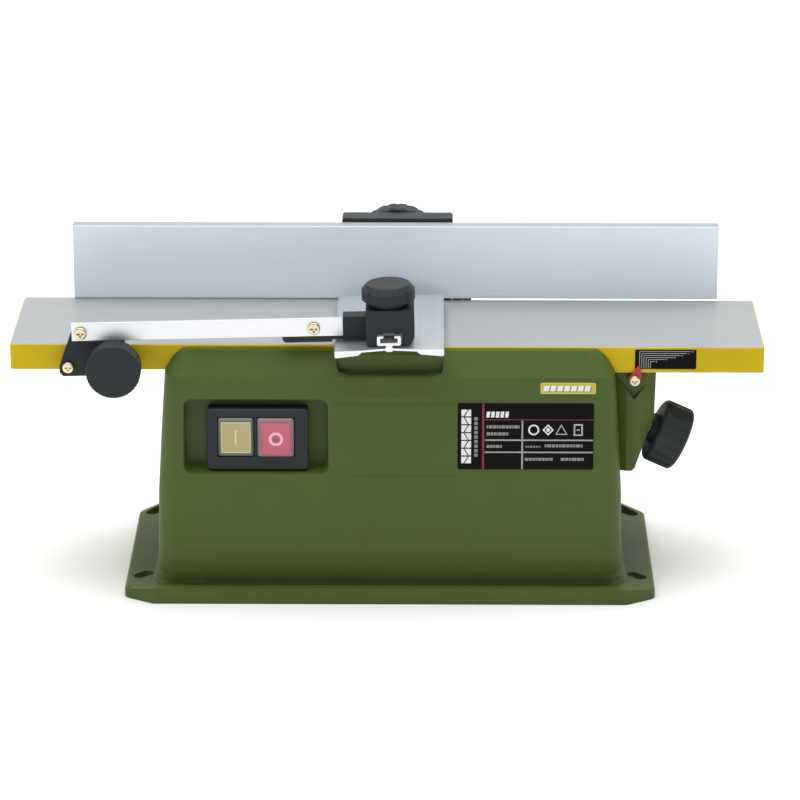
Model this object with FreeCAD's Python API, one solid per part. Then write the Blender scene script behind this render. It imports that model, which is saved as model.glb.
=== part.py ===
import FreeCAD, Part
import math
import os

# Bench-top surface planer. Millimetres, +Z up, +X to the infeed side, +Y to the fence.
# The origin is the middle of the base, on the bench.
Vector = FreeCAD.Vector
os.makedirs("parts", exist_ok=True)

# Driving dimensions
table_top = 137.0             # outfeed table above the bench
table_thick = 14.0
table_half_depth = 41.0
table_left = -201.2
table_right = 198.0
max_cut = 1.0                 # depth of cut, with the infeed table at its lowest
ramp_angle = 11.0             # slope of the infeed table's ways
wall = 2.2                    # housing wall
cover_thick = 1.6
cradle_seat = 3.8             # top of the motor cradle's plate
plinth_height = 6.0
rim_top = 9.0
plinth_half_x = 126.5
plinth_half_y = 67.5
ear_half_x = 142.0
ear_half_y = 58.0
knife_radius = 24.0           # cutting circle, level with the outfeed table
block_radius = 22.6
fit = 0.05                    # radial clearance of a running fit
gap = 0.4                     # free space between bodies that slide past each other
arm_tilt = 1.4                # the guard arm at rest, in degrees above level
fence_face = 37.5
fence_thick = 8.0
fence_left = -173.5
fence_right = 178.0
fence_top = 179.0

# Derived places
table_bottom = table_top - table_thick
cutter_z = table_top - knife_radius
scoop_radius = knife_radius + 1.2
ramp_run = max_cut / math.tan(math.radians(ramp_angle))
motor_z = 45.0
arm_pivot = Vector(-169.7, -47.0, 126.6)
fence_pivot = Vector(0, 46.5, 132.0)
X, Y, Z = Vector(1, 0, 0), Vector(0, 1, 0), Vector(0, 0, 1)


def box(x0, x1, y0, y1, z0, z1):
    return Part.makeBox(x1 - x0, y1 - y0, z1 - z0, Vector(x0, y0, z0))


def cylinder(radius, start, axis, length):
    return Part.makeCylinder(radius, length, Vector(*start), axis)


def cone(radius0, radius1, start, axis, length):
    return Part.makeCone(radius0, radius1, length, Vector(*start), axis)


def ring(outer, inner, start, axis, length):
    return cylinder(outer, start, axis, length).cut(cylinder(inner, start, axis, length))


def prism(points, push):
    wire = Part.makePolygon([Vector(*p) for p in points + points[:1]])
    return Part.Face(wire).extrude(push)


def prism_along_x(yz_points, x0, x1):
    return prism([(x0, y, z) for y, z in yz_points], Vector(x1 - x0, 0, 0))


def prism_along_y(xz_points, y0, y1):
    return prism([(x, y0, z) for x, z in xz_points], Vector(0, y1 - y0, 0))


def prism_along_z(xy_points, z0, z1):
    return prism([(x, y, z0) for x, y in xy_points], Vector(0, 0, z1 - z0))


def fuse(shapes):
    return shapes[0].multiFuse(shapes[1:]).removeSplitter()


def cut(shape, tools):
    return shape.cut(tools).removeSplitter()


def round_edges(shape, radius, choose):
    edges = [edge for edge in shape.Edges if choose(edge)]
    return shape.makeFillet(radius, edges)


def spans(edge, direction):
    """True for a straight edge that runs along the direction."""
    if not isinstance(edge.Curve, (Part.Line, Part.LineSegment)):
        return False
    return abs(edge.tangentAt(edge.FirstParameter).dot(direction)) > 0.999


def rounded_wire(half_x, y_front, y_back, radius, z):
    """A rounded rectangle at one height, always with the same eight edges."""
    x, r = half_x, radius
    centres = [(x - r, y_front + r, -90), (x - r, y_back - r, 0),
               (r - x, y_back - r, 90), (r - x, y_front + r, 180)]
    arcs = []
    for cx, cy, start in centres:
        ends = []
        for turn in (0, 45, 90):
            angle = math.radians(start + turn)
            ends.append(Vector(cx + r * math.cos(angle), cy + r * math.sin(angle), z))
        arcs.append(Part.Arc(*ends).toShape())
    edges = []
    for i, arc in enumerate(arcs):
        following = arcs[(i + 1) % 4]
        edges.append(arc)
        edges.append(Part.LineSegment(arc.Vertexes[-1].Point, following.Vertexes[0].Point).toShape())
    return Part.Wire(edges)


def save(name, shapes):
    """Write one node. A list is a group of separate solids."""
    solids = shapes if isinstance(shapes, list) else [shapes]
    solids = [solid for shape in solids for solid in shape.Solids]
    for solid in solids:
        if not solid.isValid() or solid.Volume <= 0:
            raise ValueError("bad solid in " + name)
    shape = solids[0] if len(solids) == 1 else Part.makeCompound(solids)
    shape.exportStep("parts/" + name + ".step")


# Housing: the body's outline at a number of heights, as half length and front face
body_sections = [
    (6.0, 127.4, -55.0), (8.0, 125.6, -55.0), (12.0, 124.2, -55.3), (28.0, 123.9, -56.7),
    (34.0, 123.7, -57.0), (56.0, 123.4, -57.0), (90.0, 121.5, -54.44), (122.5, 119.3, -52.0),
    (131.0, 116.2, -46.6), (135.0, 114.0, -44.0)]
body_corner = 11.0
rear_ledge = 127.0            # the body is lower behind the tables, for the fence bracket


def body_solid(inset):
    wires = []
    for z, half_x, front in body_sections:
        wires.append(rounded_wire(half_x - inset, front + inset, -front - inset, body_corner - inset, z))
    return Part.makeLoft(wires, True, True)


def front_wall(z):
    """Y of the housing's front face at a height."""
    for (z0, _, y0), (z1, _, y1) in zip(body_sections, body_sections[1:]):
        if z0 <= z <= z1:
            return y0 + (y1 - y0) * (z - z0) / (z1 - z0)
    raise ValueError("no front wall at this height")


def end_wall_block():
    """The body's outline seen from the front, as a block with flat faces."""
    right = [(half_x, z) for z, half_x, _ in body_sections]
    left = [(-half_x, z) for z, half_x, _ in reversed(body_sections)]
    return prism_along_y(right + left, -80, 80)


def back_wall_block():
    """The body's outline seen from the end, up to the rear ledge."""
    back = [(-front, z) for z, _, front in body_sections]
    front = [(front, z) for z, _, front in reversed(body_sections)]
    block = prism_along_x(back + front, -100, 100)
    return block.cut(box(-101, 101, 0, 80, rear_ledge, 140))


def plinth_block(inset, height):
    x, y = plinth_half_x, plinth_half_y - inset
    ex, ey = ear_half_x - inset, ear_half_y - inset
    outline = [(-x, -y), (x, -y), (ex, -ey), (ex, ey), (x, y), (-x, y), (-ex, ey), (-ex, -ey)]
    return round_edges(prism_along_z(outline, 0, height), 5.0 - inset, lambda edge: spans(edge, Z))


def plinth():
    """The base, with a rim along its long sides that runs out towards the ears."""
    solid = plinth_block(0, plinth_height)
    solid = round_edges(solid, 1.8, lambda edge: edge.BoundBox.ZMin > plinth_height - 0.01)
    rim = plinth_block(0, rim_top + 1).cut(plinth_block(2.6, rim_top + 2))
    inner, outer = plinth_half_x - 1.5, ear_half_x - 2.0
    side = [(-outer, 3.0), (-outer, plinth_height - 0.6), (-inner, rim_top), (inner, rim_top),
            (outer, plinth_height - 0.6), (outer, 3.0)]
    return solid.fuse(rim.common(prism_along_y(side, -70, 70)))


def ear_slots():
    """Four slots at 45 degrees, which run from the outer end towards the middle of the long side."""
    length, width = 12.4, 6.4
    slots = []
    for side in (-1, 1):
        for end in (-1, 1):
            along = Vector(-side, 1, 0).normalize()
            centre = Vector(side * 133.0, end * 49.5 + 8.0 - 1.5 * end, 0)
            half = along * ((length - width) / 2)
            across = Vector(-along.y, along.x, 0) * (width / 2)
            corners = [centre - half - across, centre + half - across,
                       centre + half + across, centre - half + across]
            slot = [prism([(p.x, p.y, -1) for p in corners], Vector(0, 0, plinth_height + 3))]
            for tip in (centre - half, centre + half):
                slot.append(cylinder(width / 2, (tip.x, tip.y, -1), Z, plinth_height + 3))
            slots.append(fuse(slot))
    return slots


notch_x = (-28.2, 28.2)
notch_floor = 123.4
notch_wall = (-45.4, -43.4)
notch_top = 132.4
groove_radius = 6.0
groove_depth = 0.35
pocket_x = (-109.5, -32.2)
pocket_z = (69.5, 111.0)
pocket_floor = -45.5
switch_x = (-96.8, -43.2)
switch_z = (71.1, 105.1)
port_centre = (-56.0, 74.5)
port_radius = 15.0
inlet_centre = (88.0, 34.0)
inlet_radius = 6.0
spindle_y = -24.0
bracket_screw_x = (-21.0, 1.5, 24.0)
bracket_screw_z = 106.5


def switch_pocket():
    """A sunken field with sloping sides, which the switch stands in."""
    outer = pocket_wire(0.0, -57.0)
    inner = pocket_wire(1.4, pocket_floor)
    return Part.makeLoft([outer, inner], True, True)


def pocket_wire(inset, y):
    half_x = (pocket_x[1] - pocket_x[0]) / 2 - inset
    half_z = (pocket_z[1] - pocket_z[0]) / 2 - inset
    wire = rounded_wire(half_x, -half_z, half_z, 5.0 - inset, 0)
    wire.rotate(Vector(0, 0, 0), X, 90)
    wire.translate(Vector((pocket_x[0] + pocket_x[1]) / 2, y, (pocket_z[0] + pocket_z[1]) / 2))
    return wire


def guard_notch():
    """Room for the guard plate in the front shoulder, with rounded lower corners."""
    x0, x1 = notch_x
    outline = [(x0, 140), (x0, notch_floor + 4), (x0 + 1.6, notch_floor + 1.4), (x0 + 6, notch_floor),
               (x1 - 4, notch_floor), (x1 - 1, notch_floor + 1), (x1, notch_floor + 3), (x1, 140)]
    return prism_along_y(outline, -60, notch_wall[0])


def notch_backing():
    """The notch's floor and back wall, which keep chips off the front bearing."""
    x0, x1 = notch_x
    bottom = notch_floor - 1.2
    ledge = box(x0 - 2, x1 + 2, front_wall(notch_floor) + 1.0, notch_wall[1], bottom, notch_floor)
    return ledge.fuse(box(x0 - 2, x1 + 2, *notch_wall, bottom, notch_top))


def field_grooves():
    """Two shallow lines that carry the pocket's edges on towards the rating plate."""
    grooves = []
    for z in (pocket_z[0] + 0.8, pocket_z[1] - 1.4):
        place = (pocket_x[1] + 1.5, front_wall(z) - groove_radius + groove_depth, z)
        grooves.append(cylinder(groove_radius, place, X, 66.0))
    return grooves


def housing():
    shell = fuse([plinth(), body_solid(0)])
    shell = shell.cut(body_solid(wall).cut(box(-150, 150, 41.6, 70, rear_ledge - 2, 140)))
    shell = shell.cut(box(-118, 118, -52, 52, -1, 8))
    backing = box(pocket_x[0] - 2, pocket_x[1] + 2, -60, pocket_floor + 2, pocket_z[0] - 2, pocket_z[1] + 2)
    shell = fuse([shell, backing.common(body_solid(wall / 2)), notch_backing()] + cover_bosses())
    shell = cut(shell, ear_slots())
    tools = [box(-150, 150, -41.6, 41.6, table_bottom - 1.6, 140)]
    tools.append(box(-150, 150, 41.5, 70, rear_ledge, 140))
    for side in (-1, 1):
        tools.append(box(min(side * 108, side * 150), max(side * 108, side * 150), -41.6, 41.6, 120.6, 140))
    tools += [guard_notch(), *field_grooves()]
    tools.append(switch_pocket())
    tools.append(box(switch_x[0] + 1.6, switch_x[1] - 1.6, -60, -40, switch_z[0] + 1.6, switch_z[1] - 1.6))
    tools.append(cylinder(port_radius + 0.3, (port_centre[0], 40, port_centre[1]), Y, 40))
    tools.append(cylinder(inlet_radius + 0.2, (inlet_centre[0], 40, inlet_centre[1]), Y, 40))
    tools.append(cylinder(6.5, (100, spindle_y, 97), X, 60))
    tools += [cylinder(1.8, (x - 5, y, z), X, 20) for x, y, z in bracket_screw_places()]
    tools += [cylinder(2.2, (x, 40, bracket_screw_z), Y, 30) for x in bracket_screw_x]
    for row in range(5):
        for column in range(4):
            slot_x = -20 + 14 * column
            slot_z = 26 + 7 * row
            tools.append(box(slot_x, slot_x + 9, 40, 70, slot_z, slot_z + 3))
    shell = cut(shell, tools)
    return shell


def bottom_cover():
    plate = prism_along_z([(-117, -51), (117, -51), (117, 51), (-117, 51)], 0, cover_thick)
    plate = round_edges(plate, 6.0, lambda edge: spans(edge, Z))
    vents = [box(-60 + 12 * i, -54 + 12 * i, -24, 24, -1, 4) for i in range(11) if i != 5]
    holes = [cylinder(1.7, (x, y, -1), Z, 4) for x, y in cover_screw_places()]
    holes += [cylinder(1.5, (x, y, -1), Z, 4) for x, y in cradle_screw_places()]
    sinks = [cylinder(3.2, (x, y, -1), Z, 2.0) for x, y in cover_screw_places()]
    return cut(plate, vents + holes + sinks)


def cradle_screw_places():
    return [(x, y) for x in (-37.8, 37.8) for y in (-29.5, 27.2)]


def cover_screw_places():
    return [(x, y) for x in (-104, 104) for y in (-42, 42)]


def cover_bosses():
    """Posts inside the housing that the bottom cover's screws go into."""
    posts = []
    for x, y in cover_screw_places():
        post = box(x - 5, x + 5, min(y, y * 1.32), max(y, y * 1.32), cover_thick, 84.0)
        posts.append(cut(post.common(body_or_plinth()), [cylinder(1.4, (x, y, 0), Z, 16)]))
    return posts


def body_or_plinth():
    return fuse([body_solid(1.0), box(-118, 118, -56, 56, 0, 8)])


def pan_screw(head_radius, head_height, shank_radius, shank_length, seat, axis):
    """A cross-head screw. The seat is the middle of the head's underside, the axis points out of the head."""
    head = cylinder(head_radius, seat, axis, head_height)
    crown = [edge for edge in head.Edges if edge.isClosed() and
             abs((edge.CenterOfMass - Vector(*seat)).dot(axis) - head_height) < 0.01]
    head = head.makeFillet(head_height * 0.45, crown)
    start = Vector(*seat) - axis * shank_length
    shank = cylinder(shank_radius, tuple(start), axis, shank_length + 0.1)
    screw = head.fuse(shank)
    side = Z if abs(axis.z) < 0.9 else X
    other = axis.cross(side)
    centre = Vector(*seat) + axis * (head_height * 0.15)
    for long_way, short_way in ((side, other), (other, side)):
        half, thin = head_radius * 0.58, head_radius * 0.16
        corner = centre - long_way * half - short_way * thin
        points = [corner, corner + long_way * half * 2, corner + long_way * half * 2 + short_way * thin * 2,
                  corner + short_way * thin * 2]
        screw = screw.cut(prism([tuple(p) for p in points], axis * head_height))
    return screw.removeSplitter()


def housing_screws():
    """Four for the bottom cover, four for the motor's cradle and two for the depth adjuster's bracket."""
    screws = [pan_screw(3.0, 0.9, 1.4, 13.0, (x, y, 1.0), -Z) for x, y in cover_screw_places()]
    for x, y in cradle_screw_places():
        screws.append(pan_screw(3.0, 1.8, 1.5, cradle_seat - 0.4, (x, y, cradle_seat), Z))
    return screws + [pan_screw(3.0, 1.8, 1.7, 9.0, (x - 0.6, y, z), -X) for x, y, z in bracket_screw_places()]


# Machine frame: a floor with two bearing walls, a land for the outfeed table and two sloping ways
frame_floor = (90.0, 94.0)
bearing_radius = 8.0
front_bearing = (-46.5, -41.5)
rear_bearing = (37.5, 42.5)
land_left = (-106.0, -34.0)
way_span = (40.0, 106.0)
way_top = 118.6               # height of the ways at their left end
way_fronts = (-37.0, 31.0)
way_width = 6.0


def ramp_height(x, lift=0.0):
    return way_top + lift - (x - way_span[0]) * math.tan(math.radians(ramp_angle))


def machine_frame():
    floor = box(-108, 108, -39, 42.5, *frame_floor)
    pieces = [floor]
    for y0, y1 in (front_bearing, rear_bearing):
        cheek = prism_along_y([(-30, 90), (30, 90), (22, 112), (13, 121.8), (-13, 121.8), (-22, 112)], y0, y1)
        pieces.append(cheek)
    pieces.append(box(-28, 40, -46.5, -39, 90, 94))
    for y in way_fronts:
        pieces.append(box(land_left[0], land_left[1], y, y + way_width, 92, table_bottom))
        x0, x1 = way_span
        way = [(x0, 92), (x1, 92), (x1, ramp_height(x1)), (x0, ramp_height(x0))]
        pieces.append(prism_along_y(way, y, y + way_width))
    for x in (land_left[0], land_left[1] - 6):
        pieces.append(box(x, x + 6, -33, 33, 92, table_bottom - 4))
    pieces.append(box(way_span[0], way_span[0] + 5, -33, 33, 92, 108))
    for x, y in cover_screw_places():
        pieces.append(box(x - 4, x + 4, min(y, y * 0.7), max(y, y * 0.7), 84, 94))
    frame = fuse(pieces)
    tools = [box(-27, 27, block_span[0] - gap, block_span[1] + gap, 80, 100)]
    for y0, y1 in (front_bearing, rear_bearing):
        tools.append(cylinder(bearing_radius, (0, y0 - 1, cutter_z), Y, y1 - y0 + 2))
    for x, y in table_screw_places():
        tools.append(cylinder(2.0, (x, y, 80), Z, 50))
    return cut(frame, tools)


def table_screw_places():
    return [(x, y) for x in (-96, -80) for y in (-34, 34)]


def table_blank(x0, x1, top):
    """A table plate with broken top edges and rounded corners."""
    plate = box(x0, x1, -table_half_depth, table_half_depth, top - table_thick, top)
    plate = round_edges(plate, 2.0, lambda edge: spans(edge, Z))
    rim = [edge for edge in plate.Edges if edge.BoundBox.ZMin > top - 0.01]
    return plate.makeChamfer(0.5, rim)


def lip_cut(x_axis, z_axis):
    return cylinder(scoop_radius, (x_axis, -50, z_axis), Y, 100)


def rib_pockets(x0, x1, bottom, bays):
    """Open pockets in the underside, with ribs between them."""
    pockets = []
    pitch = (x1 - x0) / bays
    for i in range(bays):
        for y0, y1 in ((-30.5, -1.5), (1.5, 30.5)):
            pockets.append(box(x0 + pitch * i, x0 + pitch * (i + 1) - 3, y0, y1, bottom - 1, bottom + 9.0))
    return pockets


lip_nose = 10.0


def outfeed_table():
    plate = table_blank(table_left, 20, table_top)
    tools = [lip_cut(0, cutter_z), box(-lip_nose, 30, -50, 50, 110, 140)]
    tools += rib_pockets(-196, -111, table_bottom, 4)
    tools += rib_pockets(-98, -46, table_bottom, 2)
    tools += [cylinder(1.7, (x, y, table_bottom - 1), Z, 9) for x, y in table_screw_places()]
    tools.append(cylinder(2.2, (arm_pivot.x, -50, arm_pivot.z), Y, 18))
    tools.append(cylinder(stud_radius + fit, (clamp_place[0], -50, clamp_place[1]), Y, 16))
    return cut(plate, tools)


def table_screws():
    return [pan_screw(3.4, 2.2, 1.6, 31.0, (x, y, 90.0), -Z) for x, y in table_screw_places()]


def infeed_table():
    top = table_top - max_cut
    bottom = top - table_thick
    plate = table_blank(-20, table_right, top)
    tools = [lip_cut(ramp_run, cutter_z - max_cut), box(-30, lip_nose + ramp_run, -50, 50, 110, 140)]
    tools += rib_pockets(112, 194, bottom, 4)
    tools += rib_pockets(40, 86, bottom, 2)
    plate = cut(plate, tools)
    x0, x1 = way_span[0] + 5, way_span[1]
    runner = [(x0, bottom + 2), (x1, bottom + 2), (x1, ramp_height(x1, gap)), (x0, ramp_height(x0, gap))]
    runners = [prism_along_y(runner, y, y + way_width) for y in way_fronts]
    pad = box(88, 102, -31, -17, bottom - 1, bottom + 6)
    return fuse([plate, pad] + runners)


# Depth adjuster: an inclined spindle under the infeed table, with a knob at its lower end
spindle_angle = 24.5
knob_centre = Vector(150.1, spindle_y, 80.8)
spindle_axis = Vector(math.cos(math.radians(spindle_angle)), 0, -math.sin(math.radians(spindle_angle)))
spindle_radius = 3.0
spindle_length = 72.0


def on_spindle(distance):
    """A point on the spindle's axis, measured outward from the middle of the knob."""
    return tuple(knob_centre + spindle_axis * distance)


def depth_nut():
    nut = box(89, 101, -30, -18, 98.0, table_top - max_cut - table_thick - 1)
    return cut(nut, [cylinder(spindle_radius + 1.8, on_spindle(-90), spindle_axis, 90)])


def depth_spindle():
    rod = cylinder(spindle_radius, on_spindle(-spindle_length), spindle_axis, spindle_length)
    collar = cylinder(spindle_radius + 2.2, on_spindle(-49.0), spindle_axis, 2.0)
    tip = cone(spindle_radius - 1, spindle_radius, on_spindle(-spindle_length - 1.5), spindle_axis, 1.5)
    return fuse([rod, tip, collar])


def grip_knob(radius, thickness, flutes, flute_radius, flute_depth, rounding):
    """A knob's blank on the origin, its inner face down, with a scalloped edge."""
    blank = cylinder(radius, (0, 0, 0), Z, thickness)
    blank = round_edges(blank, rounding, lambda edge: edge.isClosed())
    cutters = []
    for i in range(flutes):
        angle = 2 * math.pi * i / flutes
        reach = radius - flute_depth + flute_radius
        place = (reach * math.cos(angle), reach * math.sin(angle), -1)
        cutters.append(cylinder(flute_radius, place, Z, thickness + 2))
    return blank.cut(cutters)


def place_knob(blank, hub_radius, hub_length, bore, bore_depth, base, axis):
    """Adds a hub and a blind bore to a knob, and sets its inner face on the base."""
    hub = cylinder(hub_radius, (0, 0, -hub_length), Z, hub_length + 1)
    knob = cut(blank.fuse(hub), [cylinder(bore, (0, 0, -hub_length - 1), Z, hub_length + 1 + bore_depth)])
    knob.Placement = FreeCAD.Placement(Vector(*base), FreeCAD.Rotation(Z, axis))
    return knob


def depth_knob():
    """A thick round knob with twelve shallow flats."""
    blank = grip_knob(17.2, 16.4, 12, 9.0, 0.5, 2.4)
    return place_knob(blank, 8.0, 2.4, spindle_radius, 13.4, on_spindle(-9.4), spindle_axis)


pointer_screw_place = (129.6, 117.8)


def adjuster_bracket():
    """A wedge-shaped arm on the housing's end wall, which carries the depth spindle."""
    side = [(117.0, 121.4), (141.4, 121.4), (140.8, 95.5), (130.6, 67.0), (129.0, 65.6), (117.0, 65.6)]
    plan = [(116.0, -34.5), (126.0, -38.5), (131.0, -38.5), (142.0, -33.5),
            (142.0, -11.0), (138.0, -8.0), (116.0, -8.0)]
    arm = prism_along_y(side, -40.0, -6.0).common(prism_along_z(plan, 60.0, 122.0))
    sink = prism([(118.0, -39.0, 122.0), (144.0, -39.0, 122.0), (129.6, -39.0, 106.0)], Vector(0, 2.8, 0))
    boss = cylinder(3.4, (pointer_screw_place[0], -41.3, pointer_screw_place[1]), Y, 9.0)
    arm = fuse([arm.cut(sink), boss])
    seat = cylinder(19.0, on_spindle(-12.2), spindle_axis, 40)
    hole = cylinder(spindle_radius + fit, on_spindle(-60), spindle_axis, 80)
    screws = [cylinder(1.8, (x, y, z), X, 20) for x, y, z in bracket_screw_places()]
    screws.append(cylinder(1.6, (pointer_screw_place[0], -50, pointer_screw_place[1]), Y, 18))
    return cut(arm, [seat, hole, end_wall_block()] + screws)


def bracket_screw_places():
    """Where the screws' heads seat, inside the housing's end wall."""
    return [(117.0, -14.0, 110.0), (119.6, -14.0, 76.0)]


def depth_pointer():
    x, z = pointer_screw_place
    outline = [(x - 3.3, z + 1.2), (x + 3.6, z + 1.0), (x + 2.9, z + 8.4), (x + 1.5, z + 8.0)]
    blade = prism_along_y(outline, -42.1, -41.5)
    eye = cylinder(2.9, (x, -42.1, z), Y, 0.6)
    return cut(blade.fuse(eye), [cylinder(1.6, (x, -50, z), Y, 20)])


def pointer_screw():
    return pan_screw(2.8, 1.7, 1.5, 8.0, (pointer_screw_place[0], -42.1, pointer_screw_place[1]), -Y)


def depth_scale():
    label = box(129.6, 162.0, -table_half_depth - 0.15, -table_half_depth, 124.0, 134.8)
    return round_edges(label, 0.8, lambda edge: spans(edge, Y))


# Cutter: a round block with two knives, between two ball bearings
block_span = (-41.1, 37.1)
pulley_span = (42.9, 48.1)
shaft_radius = 2.5
cutter_pulley_radius = 10.0
motor_pulley_radius = 5.0


def half_turn(shape):
    turned = shape.copy()
    turned.rotate(Vector(0, 0, cutter_z), Y, 180)
    return turned


def cutter_block():
    y0, y1 = block_span
    block = cylinder(block_radius, (0, y0, cutter_z), Y, y1 - y0)
    slot = box(-3.4, 4.5, y0 - 1, y1 + 1, cutter_z + 11, cutter_z + 30)
    pocket = [(4.4, cutter_z + 15), (4.4, cutter_z + 25), (15, cutter_z + 25), (9, cutter_z + 19)]
    relief = prism_along_y(pocket, y0 - 1, y1 + 1)
    shaft_start = front_bearing[0] + 0.2
    shaft = cylinder(shaft_radius, (0, shaft_start, cutter_z), Y, pulley_span[1] + 0.1 - shaft_start)
    block = cut(block, [slot, half_turn(slot), relief, half_turn(relief)])
    return block.fuse(shaft).removeSplitter()


def knives():
    base = cutter_z + 11.02
    tip = cutter_z + 23.9
    knife = prism_along_y([(-0.2, base), (2.6, base), (2.6, tip - 2.6), (-0.2, tip)], *block_span)
    return [knife, half_turn(knife)]


def clamp_screw_rows():
    return [-33.0 + 15.5 * i for i in range(5)]


def knife_clamps():
    base, top = cutter_z + 11.02, cutter_z + 22.0
    clamp = prism_along_y([(2.62, base), (4.48, base), (4.48, top - 2.4), (2.62, top - 1.2)], *block_span)
    backing = prism_along_y([(-3.38, base), (-0.22, base), (-0.22, top - 0.4), (-3.38, top)], *block_span)
    backing = cut(backing, [cylinder(1.2, (-1.8, y, base + 3), Z, 20) for y in clamp_screw_rows()])
    clamps = []
    for piece in (clamp, backing):
        clamps += [piece, half_turn(piece)]
    return clamps


def clamp_screws():
    screws = []
    for y in clamp_screw_rows():
        screw = cylinder(1.18, (-1.8, y, cutter_z + 14.1), Z, 6.5)
        socket = Part.Face(Part.makePolygon([Vector(-1.8 + 0.65 * math.cos(math.radians(60 * i)),
                                                    y + 0.65 * math.sin(math.radians(60 * i)),
                                                    cutter_z + 19.0) for i in range(7)])).extrude(Z * 3)
        screw = screw.cut(socket)
        screws += [screw, half_turn(screw)]
    return screws


def grooved_pulley(radius, centre_z, bore):
    y0, y1 = pulley_span
    wheel = ring(radius, bore, (0, y0, centre_z), Y, y1 - y0)
    flanges = [ring(radius + 1.3, radius - 1, (0, y, centre_z), Y, 0.3) for y in (y0, y1 - 0.3)]
    return fuse([wheel] + flanges)


def cutter_pulley():
    return grooved_pulley(cutter_pulley_radius, cutter_z, shaft_radius)


def motor_pulley():
    return grooved_pulley(motor_pulley_radius, motor_z, shaft_radius)


def belt_outline(extra):
    """Both pulleys' circles and the two straight runs between them."""
    y0 = pulley_span[0] + 0.4
    big, small = cutter_pulley_radius + extra, motor_pulley_radius + extra
    lean = math.asin((big - small) / (cutter_z - motor_z))
    lift, reach = -math.sin(lean), math.cos(lean)
    tops = [Vector(side * big * reach, y0, cutter_z + big * lift) for side in (-1, 1)]
    ends = [Vector(side * small * reach, y0, motor_z + small * lift) for side in (-1, 1)]
    over = Part.Arc(tops[0], Vector(0, y0, cutter_z + big), tops[1]).toShape()
    under = Part.Arc(ends[1], Vector(0, y0, motor_z - small), ends[0]).toShape()
    right = Part.LineSegment(tops[1], ends[1]).toShape()
    left = Part.LineSegment(ends[0], tops[0]).toShape()
    return Part.Face(Part.Wire([over, right, under, left]))


def drive_belt():
    width = pulley_span[1] - pulley_span[0] - 0.8
    band = belt_outline(1.2).extrude(Y * width)
    return band.cut(belt_outline(0.1).extrude(Y * width))


def ball_bearing(outer, bore, y0, y1, centre_z):
    race = ring(outer, bore, (0, y0, centre_z), Y, y1 - y0)
    groove = ring(outer - 1.3, bore + 1.2, (0, y0 - 0.1, centre_z), Y, 0.5)
    return race.cut(groove)


def ball_bearings():
    """Two for the cutter and two for the motor."""
    bore = shaft_radius + fit
    spans_y = (front_bearing, rear_bearing)
    cutter_pair = [ball_bearing(bearing_radius, bore, *span, cutter_z) for span in spans_y]
    motor_spans = [(can_span[0] - bell_depth, can_span[0]), (can_span[1], can_span[1] + bell_depth)]
    return cutter_pair + [ball_bearing(motor_bearing_radius, bore, *span, motor_z) for span in motor_spans]


# Motor: under the cutter, its shaft along Y, belt at the back
can_radius = 27.0
can_span = (-34.0, 36.0)
bell_depth = 5.0
motor_bearing_radius = 6.5


def motor_can():
    y0, y1 = can_span
    can = ring(can_radius, can_radius - 2, (0, y0, motor_z), Y, y1 - y0)
    vents = []
    for i in range(8):
        vent = box(-3, 3, y1 - 20, y1 - 6, motor_z + can_radius - 4, motor_z + can_radius + 2)
        vent.rotate(Vector(0, 0, motor_z), Y, 22.5 + 45 * i)
        vents.append(vent)
    windows = [cylinder(3.5, (0, brush_y, motor_z), X * side, 40) for side in (-1, 1)]
    return cut(can, vents + windows)


brush_y = -27.0
commutator_radius = 8.0


def motor_end_bells():
    bells = []
    for y0 in (can_span[0] - bell_depth, can_span[1]):
        bell = cylinder(can_radius, (0, y0, motor_z), Y, bell_depth)
        bell = bell.cut(cylinder(motor_bearing_radius, (0, y0 - 1, motor_z), Y, bell_depth + 2))
        for i in range(6):
            angle = math.radians(60 * i + 30)
            place = (17.5 * math.cos(angle), y0 - 1, motor_z + 17.5 * math.sin(angle))
            bell = bell.cut(cylinder(3.6, place, Y, bell_depth + 2))
        bells.append(bell)
    return bells


def field_coils():
    coils = []
    for side in (-1, 1):
        shell = ring(can_radius - 2.1, 15.0, (0, -18, motor_z), Y, 32)
        wedge = prism_along_y([(0, motor_z), (side * 40, motor_z - 36), (side * 40, motor_z + 36)], -30, 30)
        coils.append(shell.common(wedge))
    return coils


def rotor_shaft():
    return cylinder(shaft_radius, (0, can_span[0] - bell_depth + 0.5, motor_z), Y, pulley_span[1] + 38.5)


def rotor_core():
    core = ring(14.4, shaft_radius, (0, -17, motor_z), Y, 30)
    slots = []
    for i in range(12):
        slot = box(-0.9, 0.9, -20, 16, motor_z + 10.5, motor_z + 16)
        slot.rotate(Vector(0, 0, motor_z), Y, 30 * i)
        slots.append(slot)
    return cut(core, slots)


def commutator():
    return ring(commutator_radius, shaft_radius, (0, -32, motor_z), Y, 10)


def motor_fan():
    hub = ring(6.0, shaft_radius, (0, 17, motor_z), Y, 12)
    disc = ring(22.0, 5.0, (0, 17, motor_z), Y, 1.6)
    blades = []
    for i in range(9):
        blade = box(-0.7, 0.7, 18, 28, motor_z + 5, motor_z + 22)
        blade.rotate(Vector(0, 0, motor_z + 12), Z, 18)
        blade = blade.common(cylinder(22.0, (0, 17, motor_z), Y, 12))
        blade.rotate(Vector(0, 0, motor_z), Y, 40 * i)
        blades.append(blade)
    return fuse([hub, disc] + blades)


def carbon_brushes():
    reach = commutator_radius + 0.1
    return [box(min(side * reach, side * 19), max(side * reach, side * 19), brush_y - 2, brush_y + 2,
                motor_z - 1.8, motor_z + 1.8) for side in (-1, 1)]


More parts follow.
